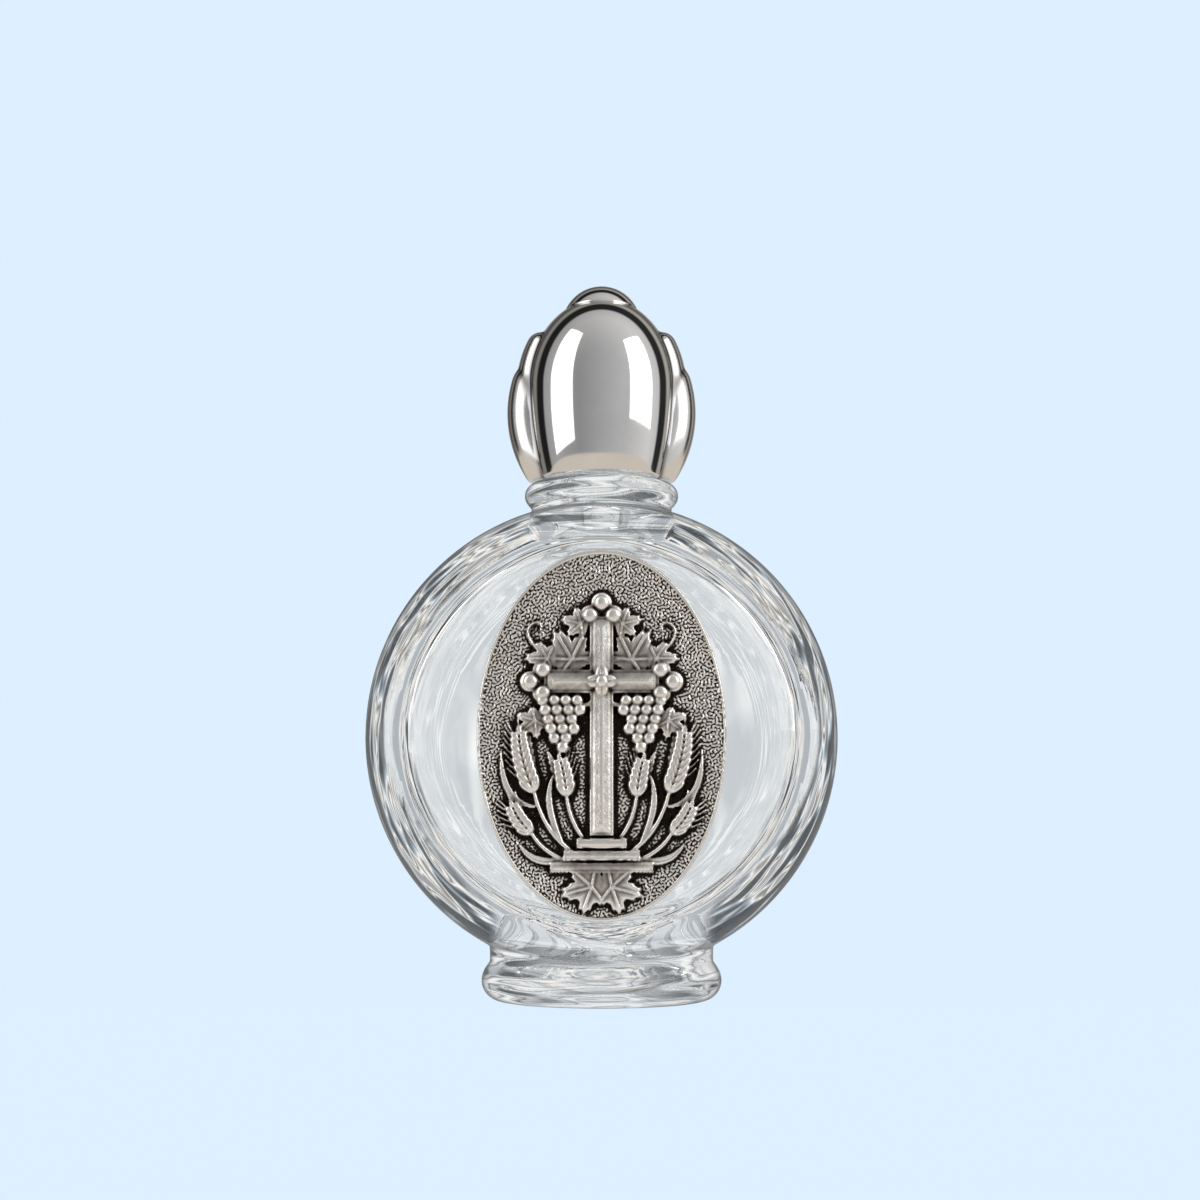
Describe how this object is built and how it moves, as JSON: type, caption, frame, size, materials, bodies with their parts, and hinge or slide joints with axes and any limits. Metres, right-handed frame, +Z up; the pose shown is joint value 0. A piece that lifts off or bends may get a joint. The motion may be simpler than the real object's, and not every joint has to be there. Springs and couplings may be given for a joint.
{
  "type": "holy water bottle",
  "caption": "Small round flat-faced glass flask on a rolled foot, with a cast oval medallion bonded to its front and a lobed egg-shaped metal screw cap.",
  "frame": {"origin": "on the neck axis, at the plane the foot rests on", "axes": "+Z up along the neck, -Y out of the face that carries the medallion, +X to the right when the medallion faces the viewer"},
  "size_m": [0.046, 0.0252, 0.0705],
  "materials": {
    "clear_glass": "clear pressed glass, fire-polished",
    "antique_silver": "silver-plated zinc casting, darkened in its recesses and rubbed bright on its high points",
    "clear_adhesive": "clear cured adhesive film",
    "cap_plating": "bright polished plating",
    "button_plating": "bright polished plating",
    "insert_plastic": "white moulded plastic with a faint sheen",
    "seal_foam": "off-white foam liner"
  },
  "bodies": {
    "flask": {"glass_flask": "clear_glass", "medallion": "antique_silver", "medallion_adhesive": "clear_adhesive"},
    "seal": {"seal_disc": "seal_foam"},
    "cap": {"cap_shell": "cap_plating", "cap_button": "button_plating", "cap_insert": "insert_plastic"}
  },
  "joints": [
    {"name": "cap_rise", "type": "slide", "parent": "flask", "child": "seal", "axis": [0, 0, 1], "range_m": [0, 0.009]},
    {"name": "cap_turn", "type": "hinge", "parent": "seal", "child": "cap", "pos_m": [0, 0, 0.0594], "axis": [0, 0, 1], "range_deg": [0, 810]}
  ],
  "couplings": [
    {"joint": "cap_rise", "follows": "cap_turn", "m_per_rad": 0.00063662}
  ]
}
